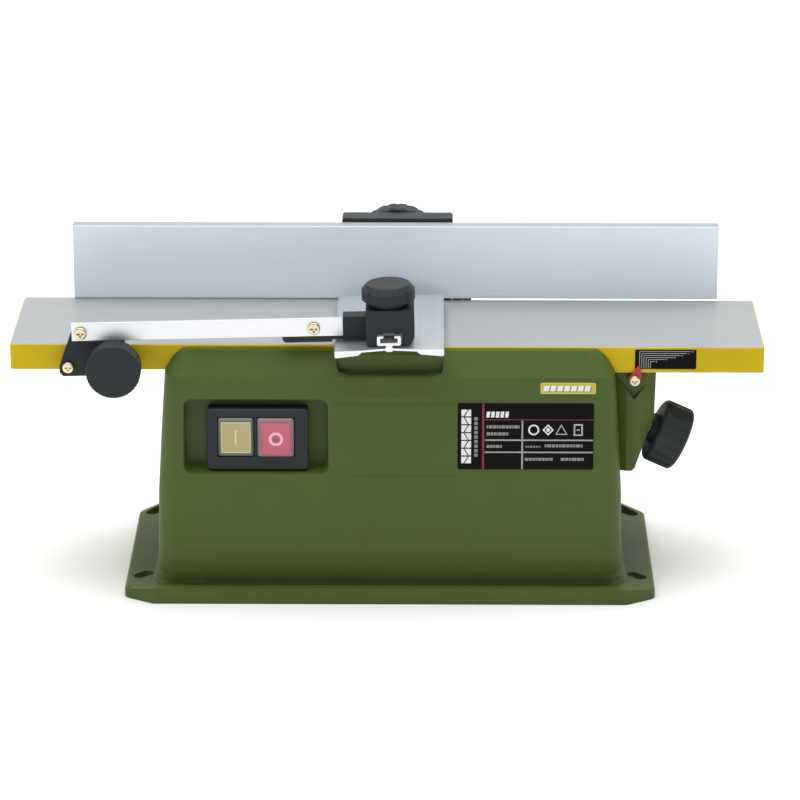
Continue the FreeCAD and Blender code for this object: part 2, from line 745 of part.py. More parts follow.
def motor_brushes():
    """Two carbon brushes in their holders."""
    holders = carbon_brushes()
    for side in (-1, 1):
        tube = cylinder(3.45, (side * 12.0, brush_y, motor_z), X * side, 19.0)
        pocket = box(min(side * 10, side * 19.2), max(side * 10, side * 19.2), brush_y - 2.05, brush_y + 2.05,
                     motor_z - 1.85, motor_z + 1.85)
        holders.append(cut(tube, [pocket]))
    return holders


def motor_cradle():
    saddles = []
    for y0 in (-30.0, 8.0):
        saddle = box(-34, 34, y0, y0 + 6, cover_thick + 1, 40)
        saddles.append(saddle.cut(cylinder(can_radius + 0.02, (0, y0 - 1, motor_z), Y, 8)))
    plate = box(-42, 42, -34, 31, cover_thick, cradle_seat)
    return cut(fuse([plate] + saddles), [cylinder(1.7, (x, y, 0), Z, 9) for x, y in cradle_screw_places()])


# Chip chute: a sloping floor under the cutter, which ends in a round outlet in the back wall
def chip_chute():
    outside = [(29, 90), (29, 86), (-24, 74.5), (-38, 60), (-73, 60), (-73, 90)]
    inside = [(27, 92), (27, 87.2), (-24.8, 76.1), (-38.7, 61.6),
              (-71.4, 61.6), (-71.4, 88.4), (-27, 88.4), (-27, 92)]
    trough = prism_along_y(outside, -38, 36).cut(prism_along_y(inside, -36.4, 34.4))
    x, z = port_centre
    tube = cylinder(port_radius, (x, 34.0, z), Y, 32.0)
    bore = cylinder(port_radius - 2, (x, 33.0, z), Y, 40.0)
    room_for_knives = box(-28, 28, -45, 45, cutter_z - knife_radius - 0.7, 95)
    return cut(trough.fuse(tube), [bore, room_for_knives])


# Switch: two push buttons in a sunken bezel on the front
bezel_face = -53.4
start_x = (-90.8, -72.2)
stop_x = (-70.0, -50.8)
button_z = (78.8, 100.2)
button_room = 0.5


def button_well(x_span, y1):
    room = button_room
    return box(x_span[0] - room, x_span[1] + room, -60, y1, button_z[0] - room, button_z[1] + room)


def switch_bezel():
    frame = box(switch_x[0], switch_x[1], bezel_face, pocket_floor, *switch_z)
    frame = round_edges(frame, 2.0, lambda edge: spans(edge, Y))
    face = [edge for edge in frame.Edges if edge.BoundBox.YMax < bezel_face + 0.01]
    frame = frame.makeChamfer(0.6, face)
    rim = 1.5
    hollow = box(switch_x[0] + rim, switch_x[1] - rim, bezel_face + rim, -40,
                 switch_z[0] + rim, switch_z[1] - rim)
    return cut(frame, [hollow] + [button_well(x_span, -40) for x_span in (start_x, stop_x)])


def switch_body():
    body = box(switch_x[0] + 1.8, switch_x[1] - 1.8, -49.0, -39.6, switch_z[0] + 1.8, switch_z[1] - 1.8)
    return cut(body, [button_well(x_span, -46.2) for x_span in (start_x, stop_x)])


def push_button(x_span, face):
    """A cap with a bevelled rim. It stands in its well with room all round."""
    cap = box(x_span[0], x_span[1], face, -49.6, *button_z)
    cap = round_edges(cap, 1.2, lambda edge: spans(edge, Y))
    front = [edge for edge in cap.Edges if edge.BoundBox.YMax < face + 0.01]
    return cap.makeChamfer(0.9, front)


def start_button():
    return push_button(start_x, bezel_face - 0.6)


def stop_button():
    return push_button(stop_x, bezel_face - 1.4)


def plate_on_front(x0, x1, z0, z1, thickness, corner):
    """A flat plate on the sloping front face."""
    outline = [(front_wall(z0), z0), (front_wall(z1), z1), (front_wall(z1) - thickness, z1),
               (front_wall(z0) - thickness, z0)]
    plate = prism_along_x(outline, x0, x1)
    short = [edge for edge in plate.Edges if edge.Length < thickness * 1.5 and abs(edge.tangentAt(0).y) > 0.9]
    return plate.makeFillet(corner, short)


def rating_plate():
    return plate_on_front(36.0, 107.8, 72.7, 108.8, 0.3, 0.8)


def badge_plate():
    return plate_on_front(79.5, 108.7, 114.0, 120.0, 0.4, 0.8)


def cable_inlet():
    x, z = inlet_centre
    body = cylinder(inlet_radius, (x, 48, z), Y, 12.0)
    flange = cylinder(inlet_radius + 2.5, (x, 57.4, z), Y, 2.8)
    nut = cylinder(inlet_radius + 3.0, (x, 49.0, z), Y, 4.0)
    return cut(fuse([body, flange, nut]), [cylinder(3.6, (x, 40, z), Y, 30)])


def circuit_board():
    board = box(60, 106, -34, 34, 12, 13.6)
    parts = [cylinder(5.0, (70, y, 13.5), Z, 16) for y in (-18, 0)]
    parts.append(box(84, 100, -26, -6, 13.5, 24))
    parts.append(box(82, 102, 8, 24, 13.5, 20))
    posts = [box(x - 3, x + 3, y - 3, y + 3, cover_thick, 12.1) for x in (65, 101) for y in (-30, 30)]
    return fuse([board] + parts + posts)


# Guard: an arm that swings on a screw at the outfeed table's side, and a sliding plate over the cutter
clamp_place = (-145.0, 128.6)
stud_radius = 2.5
swing_down = 0.4
swing_up = 11.0
bar_z = (141.4, 151.4)
bar_x = (-166.8, -24.1)
bar_face = -50.0
bar_back = -48.0
arm_back = -41.4
guard_top = 139.6             # top of the guard plate's middle, with the arm level
guard_x = 0.25
guard_y = (-67.0, 27.0)
rail_width = 12.4
rail_height = 6.5
knob_axis_y = -52.0


def tilt(shape):
    tilted = shape.copy()
    tilted.rotate(arm_pivot, Y, -arm_tilt)
    return tilted


def arc_slot(half_width):
    """The path that the clamp's stud takes through the swinging plate."""
    across, up = clamp_place[0] - arm_pivot.x, clamp_place[1] - arm_pivot.z
    reach = math.hypot(across, up)
    first = math.atan2(up, across) + math.radians(swing_down + 1.0)
    last = math.atan2(up, across) - math.radians(swing_up + 1.0)
    ends = []
    for angle in (first, last):
        place = (arm_pivot.x + reach * math.cos(angle), -60, arm_pivot.z + reach * math.sin(angle))
        ends.append(cylinder(half_width, place, Y, 30))
    far = reach * 3
    wedge = prism_along_y([(arm_pivot.x, arm_pivot.z)] + [
        (arm_pivot.x + far * math.cos(angle), arm_pivot.z + far * math.sin(angle)) for angle in (last, first)],
        -60, -30)
    band = ring(reach + half_width, reach - half_width, (arm_pivot.x, -60, arm_pivot.z), Y, 30)
    return fuse([band.common(wedge)] + ends)


def guard_pivot_plate():
    outline = [(-167.8, 144.5), (-172.8, 131.4), (-174.4, 126.8), (-174.4, 123.6), (-172.6, 121.5),
               (-159.0, 121.5), (-152.0, 116.8), (-139.6, 116.8), (-139.6, 141.2), (-140.8, 148.6),
               (-165.6, 148.6)]
    plate = prism_along_y(outline, bar_back, arm_back)
    ledge = box(-166.6, -139.8, bar_face, bar_back + 1, 139.8, bar_z[0])
    plate = tilt(fuse([plate, ledge]))
    tools = [arc_slot(stud_radius + 0.5), cylinder(2.0 + fit, (arm_pivot.x, -60, arm_pivot.z), Y, 30)]
    tools.append(tilt(cylinder(1.55, (bar_screw_places()[0][0], -60, bar_screw_places()[0][1]), Y, 30)))
    return cut(plate, tools)


def bar_screw_places():
    return [(-162.2, 145.8), (-39.4, 145.9)]


def guard_pivot_screw():
    return pan_screw(3.0, 1.8, 2.0, 14.5, (arm_pivot.x, bar_back - gap, arm_pivot.z), -Y)


def guard_bar():
    bar = box(bar_x[0], bar_x[1], bar_face, bar_back, *bar_z)
    bar = round_edges(bar, 0.4, lambda edge: spans(edge, X))
    return tilt(cut(bar, [cylinder(1.55, (x, -60, z), Y, 30) for x, z in bar_screw_places()]))


def guard_bar_screws():
    return [tilt(pan_screw(3.4, 1.9, 1.5, 6.0, (x, bar_face, z), -Y)) for x, z in bar_screw_places()]


def guard_clamp_knob():
    blank = grip_knob(14.4, 12.6, 40, 1.0, 0.35, 1.2)
    return place_knob(blank, 7.0, 2.2, stud_radius, 9.6, (clamp_place[0], -50.8, clamp_place[1]), -Y)


def guard_clamp_stud():
    return cylinder(stud_radius, (clamp_place[0], -60.0, clamp_place[1]), Y, 25.0)


def guard_holder():
    tail = box(-56.0, -9.0, bar_back, -43.0, bar_z[0], bar_z[1] - 3.4)
    ledge = box(-56.0, -9.0, bar_face, -43.0, guard_top, bar_z[0])
    rib = prism_along_y([(-56.0, 139.8), (-54.6, 138.3), (-29.8, 138.3), (-29.8, 139.8)], bar_face, -43.0)
    arm = box(-24.0, -9.0, bar_face - 2.0, -43.0, guard_top, 152.6)
    block = box(-11.6, 13.6, -63.0, -41.5, guard_top + 0.5, 158.8)
    block = round_edges(block, 1.5, lambda edge: spans(edge, Z))
    half = rail_width / 2 + gap
    channel = box(guard_x - half, guard_x + half, -70, -30, 130, guard_top + rail_height + gap)
    chamfer = prism_along_y([(13.7, 143.5), (13.7, 139), (10.5, 139)], -70, -30)
    tools = [channel, chamfer, cylinder(stud_radius + fit, (guard_x, knob_axis_y, 140), Z, 30)]
    tools.append(cylinder(1.55, (bar_screw_places()[1][0], -60, bar_screw_places()[1][1]), Y, 30))
    return tilt(cut(fuse([tail, ledge, rib, arm, block]), tools))


def guard_profile():
    """Half the plate's section, as offset from the middle and height above the plate's top."""
    return [(0, -1.1), (14.2, -2.0), (16.4, -3.7), (27.9, -4.9), (28.6, -4.4), (28.6, -1.2),
            (15.5, -1.0), (0, 0)]


def guard_plate():
    half = guard_profile()
    outline = [(guard_x + x, guard_top + z) for x, z in half]
    mirrored = [(guard_x - x, guard_top + z) for x, z in reversed(half[1:-1])]
    plate = prism_along_y(outline + mirrored, *guard_y)
    stem = box(guard_x - 1.7, guard_x + 1.7, *guard_y, guard_top - 1.9, guard_top + 1.8)
    low, high = guard_top + 1.4, guard_top + rail_height
    half_rail = rail_width / 2
    rail = box(guard_x - half_rail, guard_x + half_rail, *guard_y, low, high)
    rail = round_edges(rail, 0.8, lambda edge: spans(edge, Y))
    inside = box(guard_x - half_rail + 1.6, guard_x + half_rail - 1.6, -80, 40, low + 1.4, high - 1.1)
    mouth = box(guard_x - 2.9, guard_x + 2.9, -80, 40, low + 1.4, high + 1)
    return tilt(fuse([plate, stem, rail.cut(inside.fuse(mouth))]))


def guard_nut():
    """A square nut in the rail, on the stud of the top knob."""
    low = guard_top + 1.4 + 1.4 + 0.3
    nut = box(guard_x - 4.2, guard_x + 4.2, knob_axis_y - 4.2, knob_axis_y + 4.2, low, low + 1.9)
    return tilt(cut(nut, [cylinder(stud_radius + fit, (guard_x, knob_axis_y, 130), Z, 30)]))


def guard_stud():
    low = guard_top + 1.4 + 1.4 + 0.4
    return tilt(cylinder(stud_radius, (guard_x, knob_axis_y, low), Z, 166.0 - low))


def guard_top_knob():
    """A round knob with a wide chamfer above and below its grip, and four grooves across the grip."""
    base = 159.2
    profile = [(0, base), (10.0, base), (10.6, base + 0.5), (14.0, base + 3.2), (14.0, base + 8.4),
               (11.6, base + 11.2), (11.0, base + 11.5), (0, base + 11.5)]
    wire = Part.makePolygon([Vector(guard_x + r, knob_axis_y, z) for r, z in profile + profile[:1]])
    knob = Part.Face(wire).revolve(Vector(guard_x, knob_axis_y, 0), Z, 360)
    grooves = []
    for i in range(4):
        angle = math.radians(90 * i + 45)
        place = (guard_x + 14.9 * math.cos(angle), knob_axis_y + 14.9 * math.sin(angle), base - 1)
        grooves.append(cylinder(1.9, place, Z, 14))
    return tilt(cut(knob, grooves + [cylinder(stud_radius, (guard_x, knob_axis_y, 150), Z, 16)]))


# Fence: an extrusion that slides along X on a carrier, which tilts back on a pin behind the tables
carrier_x = (-27.0, 33.5)
carrier_face = 45.9
carrier_back = 57.5
slot_z = 159.5
fence_knob_place = ((carrier_x[0] + carrier_x[1]) / 2, slot_z)
fence_knob_radius = 23.5
fence_stud_radius = 3.0
ear_x = ((-30.0, -22.0), (25.0, 33.0))
pin_radius = 2.5
fence_bottom = table_top + 0.7


def fence():
    back = fence_face + fence_thick
    blank = box(fence_left, fence_right, fence_face, back, fence_bottom, fence_top)
    blank = round_edges(blank, 0.8, lambda edge: spans(edge, X))
    tools = [box(-200, 200, back - 2.0, back + 1, slot_z - 3.3, slot_z + 3.3),
             box(-200, 200, back - 5.0, back - 1.9, slot_z - 6.0, slot_z + 6.0),
             box(-200, 200, fence_face + 2, back - 2, slot_z + 8.0, fence_top - 2),
             box(-200, 200, fence_face + 2, back - 2, fence_bottom + 2, slot_z - 8.0)]
    return cut(blank, tools)


def fence_nut():
    x, z = fence_knob_place
    back = fence_face + fence_thick
    nut = box(x - 12, x + 12, back - 4.6, back - 2.3, z - 5.6, z + 5.6)
    return cut(nut, [cylinder(fence_stud_radius + fit, (x, 30, z), Y, 30)])


def fence_stud():
    x, z = fence_knob_place
    return cylinder(fence_stud_radius, (x, 41.0, z), Y, 22.0)


def fence_knob():
    x, z = fence_knob_place
    disc = cylinder(fence_knob_radius, (x, 58.2, z), Y, 11.8)
    disc = round_edges(disc, 2.0, lambda edge: edge.isClosed())
    hub = cylinder(9.0, (x, 50.4, z), Y, 8.0)
    dish = cone(16.0, 18.0, (x, 67.6, z), Y, 2.5)
    grips = []
    for i in range(24):
        angle = 2 * math.pi * i / 24
        reach = fence_knob_radius + 1.2
        grips.append(cylinder(2.0, (x + reach * math.cos(angle), 57, z + reach * math.sin(angle)), Y, 14))
    boss = cylinder(5.0, (x, 65.0, z), Y, 3.6)
    knob = cut(disc.fuse(hub), [dish] + grips).fuse(boss)
    return cut(knob, [cylinder(fence_stud_radius, (x, 30, z), Y, 33.0)])


def fence_carrier():
    x0, x1 = carrier_x
    face = box(x0, x1, carrier_face, 50.0, 140.0, 181.0)
    cap = box(x0, x1, carrier_face, carrier_back, 178.0, 181.0)
    sides = [box(x, x + 3, carrier_face, carrier_back, 141.0, 181.0) for x in (x0, x1 - 3)]
    barrel_x = (ear_x[0][1] + gap, ear_x[1][0] - gap)
    barrel = cylinder(4.0, (barrel_x[0], fence_pivot.y, fence_pivot.z), X, barrel_x[1] - barrel_x[0])
    web = box(barrel_x[0], barrel_x[1], carrier_face, 50.0, fence_pivot.z, 141.0)
    body = fuse([face, cap, barrel, web] + sides)
    body = round_edges(body, 1.5, lambda edge: spans(edge, Y) and edge.BoundBox.ZMin > 180)
    x, z = fence_knob_place
    bore = cylinder(pin_radius + fit, (-60, fence_pivot.y, fence_pivot.z), X, 120)
    return cut(body, [bore, cylinder(fence_stud_radius + fit, (x, 30, z), Y, 40)])


def fence_bracket():
    y, z = fence_pivot.y, fence_pivot.z
    profile = [(y - 3.9, rear_ledge), (y - 3.9, z), (y + 3.9, z), (y + 7, 124), (58.6, 117), (58.6, 96),
               (50, 94), (46, rear_ledge)]
    parts = [prism_along_x(profile, x0, x1) for x0, x1 in ear_x]
    parts += [cylinder(4.2, (x0, y, z), X, x1 - x0) for x0, x1 in ear_x]
    plate = prism_along_x([(50, 96), (58.6, 96), (58.6, 117), (50, 120)], ear_x[0][0], ear_x[1][1])
    bracket = fuse(parts + [plate])
    tools = [back_wall_block()]
    tools.append(cylinder(pin_radius, (-60, y, z), X, 120))
    tools += [cylinder(2.2, (x, 40, bracket_screw_z), Y, 30) for x in bracket_screw_x]
    return cut(bracket, tools)


def fence_bracket_screws():
    return [pan_screw(3.6, 2.2, 2.1, 9.5, (x, 58.6, bracket_screw_z), Y) for x in bracket_screw_x]


def hinge_pin():
    pin = cylinder(pin_radius, (ear_x[0][0] - 1.5, fence_pivot.y, fence_pivot.z), X, 71.0)
    return round_edges(pin, 0.6, lambda edge: edge.isClosed())


def tilt_lever():
    y, z = fence_pivot.y, fence_pivot.z
    x0 = ear_x[1][1] + gap
    hub = cylinder(4.0, (x0, y, z), X, 5.6)
    side = [(y, z - 3.0), (y, z + 2.4), (y + 18, z - 1.6), (y + 18, z - 5.2)]
    arm = prism_along_x(side, x0 + 1.0, x0 + 4.6)
    grip = Part.makeSphere(4.2, Vector(x0 + 6.4, y + 19.0, z - 3.4))
    lever = fuse([hub, arm, grip])
    return cut(lever, [cylinder(pin_radius + fit, (0, y, z), X, 80)])


makers = [
    housing, bottom_cover, housing_screws, machine_frame, outfeed_table, table_screws, infeed_table,
    depth_nut,
    depth_scale, depth_spindle, depth_knob, adjuster_bracket, depth_pointer, pointer_screw,
    cutter_block, knives, knife_clamps, clamp_screws, cutter_pulley, ball_bearings, drive_belt, motor_can,
    motor_end_bells, field_coils, rotor_shaft, rotor_core, commutator, motor_fan, motor_pulley,
    motor_brushes, motor_cradle, chip_chute, switch_bezel, switch_body, start_button, stop_button,
    rating_plate, badge_plate, cable_inlet, circuit_board, guard_pivot_plate, guard_pivot_screw, guard_bar,
    guard_bar_screws, guard_clamp_knob, guard_clamp_stud, guard_holder, guard_plate, guard_nut, guard_stud,
    guard_top_knob, fence, fence_nut, fence_stud, fence_knob, fence_carrier, fence_bracket,
    fence_bracket_screws, hinge_pin, tilt_lever]

for make in makers:
    save(make.__name__, make())
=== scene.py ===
"""Looks of the bench-top surface planer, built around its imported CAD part.

The CAD nodes keep their shapes and places and get procedural materials.  What is printed or
moulded on them in fine relief, such as the switch symbols, the rating plate's rules and the
depth scale's lines, is made here as thin pieces that ride on the same bodies.
"""

import math

import bmesh
import bpy
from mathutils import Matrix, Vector


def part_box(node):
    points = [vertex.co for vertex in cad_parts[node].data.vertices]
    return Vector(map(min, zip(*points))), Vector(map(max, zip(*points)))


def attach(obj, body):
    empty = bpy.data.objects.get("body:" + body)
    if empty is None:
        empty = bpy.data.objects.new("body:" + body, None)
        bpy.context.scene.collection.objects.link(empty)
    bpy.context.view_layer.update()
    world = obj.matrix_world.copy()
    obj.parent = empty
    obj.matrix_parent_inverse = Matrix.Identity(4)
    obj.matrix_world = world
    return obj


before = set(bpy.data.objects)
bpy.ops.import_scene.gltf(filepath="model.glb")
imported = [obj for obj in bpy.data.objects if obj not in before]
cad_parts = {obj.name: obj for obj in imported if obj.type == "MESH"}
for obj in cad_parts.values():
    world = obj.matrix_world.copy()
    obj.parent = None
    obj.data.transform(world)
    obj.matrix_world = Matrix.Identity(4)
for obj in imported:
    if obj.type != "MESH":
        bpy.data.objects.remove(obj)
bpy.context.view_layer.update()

MM = 0.001


# ---------------------------------------------------------------- shader building blocks

MIX_COLOUR_INPUTS = slice(6, 8)     # a Mix node's sockets A and B, and its result, for colours
MIX_COLOUR_OUTPUT = 2
NOISE_SPAN = (0.3, 0.7)             # a Noise node's value is nearly always between these
FLAT_COSINE = 0.995                 # of the angle between true and bevelled normal, on a face
EDGE_COSINE = 0.90                  # and on an edge


class Finish:
    """A material with one Principled shader, and short ways to add the texture that feeds it.

    Texture places are the object's own coordinates in metres, so a scale is in cycles per metre.
    """

    def __init__(self, name, colour, roughness, metallic=0.0, specular=0.30):
        self.material = bpy.data.materials.new(name)
        self.material.use_nodes = True
        self.nodes = self.material.node_tree.nodes
        self.links = self.material.node_tree.links
        self.shader = self.nodes["Principled BSDF"]
        self.shader.inputs["Base Color"].default_value = (*colour, 1.0)
        self.shader.inputs["Roughness"].default_value = roughness
        self.shader.inputs["Metallic"].default_value = metallic
        self.shader.inputs["Specular IOR Level"].default_value = specular
        self.places = self.nodes.new("ShaderNodeTexCoord")
        self.last_bump = None

    def join(self, source, target):
        """Links an output socket to an input socket."""
        self.links.new(source, target)

    def noise(self, scale, detail=3.0, roughness=0.5, stretch=None):
        """Noise of that many cycles per metre; stretch scales the place along each axis first."""
        node = self.nodes.new("ShaderNodeTexNoise")
        node.inputs["Scale"].default_value = scale
        node.inputs["Detail"].default_value = detail
        node.inputs["Roughness"].default_value = roughness
        place = self.places.outputs["Object"]
        if stretch:
            mapping = self.nodes.new("ShaderNodeMapping")
            mapping.inputs["Scale"].default_value = stretch
            self.join(place, mapping.inputs["Vector"])
            place = mapping.outputs["Vector"]
        self.join(place, node.inputs["Vector"])
        return node.outputs["Fac"]

    def between(self, value, low, high, to_low=0.0, to_high=1.0):
        """The value moved from one range to another, and held at its ends."""
        node = self.nodes.new("ShaderNodeMapRange")
        node.inputs["From Min"].default_value = low
        node.inputs["From Max"].default_value = high
        node.inputs["To Min"].default_value = to_low
        node.inputs["To Max"].default_value = to_high
        self.join(value, node.inputs["Value"])
        return node.outputs["Result"]

    def math(self, operation, first, second):
        """An operation on two values, each a socket or a number."""
        node = self.nodes.new("ShaderNodeMath")
        node.operation = operation
        for place, value in enumerate((first, second)):
            if isinstance(value, (int, float)):
                node.inputs[place].default_value = value
            else:
                self.join(value, node.inputs[place])
        return node.outputs["Value"]

    def blend(self, share, first, second):
        """A colour between two, each a socket or an RGB triple."""
        node = self.nodes.new("ShaderNodeMix")
        node.data_type = "RGBA"
        self.join(share, node.inputs["Factor"])
        for socket, colour in zip(node.inputs[MIX_COLOUR_INPUTS], (first, second)):
            if isinstance(colour, tuple):
                socket.default_value = (*colour, 1.0)
            else:
                self.join(colour, socket)
        return node.outputs[MIX_COLOUR_OUTPUT]

    def mottled(self, noise, colour, dark, light):
        """The colour times dark where the noise is low, and times light where it is high."""
        share = self.between(noise, *NOISE_SPAN)
        return self.blend(share, shade(colour, dark), shade(colour, light))

    def colour(self, value):
        """Feeds the base colour."""
        self.join(value, self.shader.inputs["Base Color"])

    def roughness(self, noise, smooth, rough):
        """Feeds the roughness with the noise, from smooth to rough."""
        self.join(self.between(noise, *NOISE_SPAN, smooth, rough), self.shader.inputs["Roughness"])

    def bump(self, height, depth):
        """Relief of that depth in metres; a second call adds to the first."""
        node = self.nodes.new("ShaderNodeBump")
        node.inputs["Distance"].default_value = depth
        node.inputs["Strength"].default_value = 1.0
        self.join(height, node.inputs["Height"])
        if self.last_bump:
            self.join(self.last_bump, node.inputs["Normal"])
        self.last_bump = node.outputs["Normal"]
        self.join(self.last_bump, self.shader.inputs["Normal"])
        return self

    def edges(self, radius):
        """1 at the object's edges within that radius, 0 on its faces."""
        bevel = self.nodes.new("ShaderNodeBevel")
        bevel.samples = 4
        bevel.inputs["Radius"].default_value = radius
        geometry = self.nodes.new("ShaderNodeNewGeometry")
        dot = self.nodes.new("ShaderNodeVectorMath")
        dot.operation = "DOT_PRODUCT"
        self.join(bevel.outputs["Normal"], dot.inputs[0])
        self.join(geometry.outputs["Normal"], dot.inputs[1])
        return self.between(dot.outputs["Value"], FLAT_COSINE, EDGE_COSINE)

    def looking(self, axis, low, high):
        """1 where the surface looks along the object's axis by at least high, 0 below low."""
        split = self.nodes.new("ShaderNodeSeparateXYZ")
        self.join(self.places.outputs["Normal"], split.inputs["Vector"])
        return self.between(split.outputs[axis], low, high)


def shade(colour, amount):
    """The colour made lighter or darker by that factor."""
    return tuple(channel * amount for channel in colour)


# ---------------------------------------------------------------- materials

def moulded(name, colour, roughness, grain=1500.0, depth=0.03 * MM, spread=0.10, wear=1.25,
            specular=0.30):
    """Moulded plastic or textured paint: eroded grain, faint cloudiness, edges rubbed smooth.

    grain is in cycles per metre and depth is its height; wear is how light the rubbed edges are.
    """
    finish = Finish(name, colour, roughness, specular=specular)
    cloud = finish.noise(35.0, detail=2.0)
    speckle = finish.noise(grain * 1.7, detail=2.0)
    tone = finish.math("ADD", finish.math("MULTIPLY", cloud, 0.7),
                       finish.math("MULTIPLY", speckle, 0.3))
    body = finish.mottled(tone, colour, 1.0 - spread, 1.0 + spread)
    rubbed = finish.math("MULTIPLY", finish.edges(0.5 * MM), finish.noise(400.0))
    finish.colour(finish.blend(rubbed, body, shade(colour, wear)))
    finish.roughness(cloud, roughness - 0.05, roughness + 0.06)
    return finish.bump(finish.noise(grain, detail=4.0, roughness=0.6), depth)


def brushed(name, colour, roughness, stretch, metallic, shaded_sides):
    """Drawn or milled metal, with fine marks along one axis.

    stretch is the marks' cycles per metre along each axis.  The sides given last get painted
    shade:
    a darker copy of the colour on the faces that look along each of their axes.
    """
    finish = Finish(name, colour, roughness, metallic, specular=0.5)
    marks = finish.noise(1.0, detail=4.0, roughness=0.65, stretch=stretch)
    haze = finish.noise(28.0, detail=2.0)
    body = finish.mottled(marks, colour, 0.93, 1.05)
    body = finish.blend(finish.between(haze, 0.35, 0.7), body, shade(colour, 0.97))
    # painted shade: faces that look along each given axis get a darker copy of the colour
    for axis, painted_shade in shaded_sides:
        shaded_copy = finish.mottled(marks, painted_shade, 0.94, 1.06)
        body = finish.blend(finish.looking(axis, 0.5, 0.9), body, shaded_copy)
    finish.colour(body)
    finish.roughness(marks, roughness - 0.06, roughness + 0.08)
    return finish.bump(marks, 0.01 * MM)


def turned(name, colour, roughness):
    """Steel or brass from the lathe or the press: fine scratches, stains, bright edges."""
    finish = Finish(name, colour, roughness, 1.0)
    scratches = finish.noise(1.0, detail=3.0, stretch=(900.0, 4000.0, 900.0))
    stain = finish.noise(120.0, detail=3.0)
    body = finish.blend(finish.between(stain, 0.35, 0.75), colour, shade(colour, 0.78))
    finish.colour(finish.blend(finish.edges(0.2 * MM), body, shade(colour, 1.15)))
    finish.roughness(stain, roughness - 0.06, roughness + 0.10)
    return finish.bump(scratches, 0.01 * MM)


def milled_and_painted(name, metal, paint):
    """Table casting: bare milled metal on what looks up, satin paint on the sides and below."""
    finish = Finish(name, metal, 0.38, specular=0.16)
    top = finish.looking("Z", 0.93, 0.96)
    passes = finish.noise(1.0, detail=4.0, roughness=0.6, stretch=(14.0, 2600.0, 40.0))
    haze = finish.noise(16.0, detail=2.0)
    bare = finish.mottled(passes, metal, 0.95, 1.04)
    bare = finish.blend(finish.between(haze, 0.4, 0.75), bare, shade(metal, 0.96))
    cloud = finish.noise(40.0, detail=2.0)
    coat = finish.mottled(cloud, paint, 0.94, 1.05)
    chips = finish.math("MULTIPLY", finish.edges(0.25 * MM),
                        finish.between(finish.noise(500.0), 0.52, 0.60))
    coat = finish.blend(chips, coat, shade(metal, 0.85))
    finish.colour(finish.blend(top, coat, bare))
    finish.join(finish.math("MULTIPLY", top, 0.30), finish.shader.inputs["Metallic"])
    finish.roughness(passes, 0.30, 0.42)
    peel = finish.noise(700.0, detail=2.0)
    finish.bump(finish.math("MULTIPLY", passes, top), 0.012 * MM)
    return finish.bump(finish.math("MULTIPLY", peel, finish.math("SUBTRACT", 1.0, top)), 0.02 * MM)


def printed(name, colour, roughness=0.42, specular=0.30):
    """Screen-printed ink or foil: even colour with faint pinholes and a low sheen."""
    finish = Finish(name, colour, roughness, specular=specular)
    pinholes = finish.noise(2500.0, detail=2.0)
    finish.colour(finish.blend(finish.between(pinholes, 0.30, 0.72),
                               shade(colour, 0.86), shade(colour, 1.06)))
    finish.roughness(pinholes, roughness - 0.04, roughness + 0.06)
    return finish.bump(pinholes, 0.006 * MM)


def lens(name, colour, roughness=0.28):
    """Translucent button plastic: light passes a little way in, under a smooth skin."""
    finish = printed(name, colour, roughness)
    finish.shader.inputs["Subsurface Weight"].default_value = 0.35
    finish.shader.inputs["Subsurface Radius"].default_value = (1.2 * MM, 0.8 * MM, 0.6 * MM)
    finish.shader.inputs["Subsurface Scale"].default_value = 1.0
    finish.shader.inputs["Coat Weight"].default_value = 0.3
    finish.shader.inputs["Coat Roughness"].default_value = 0.12
    return finish


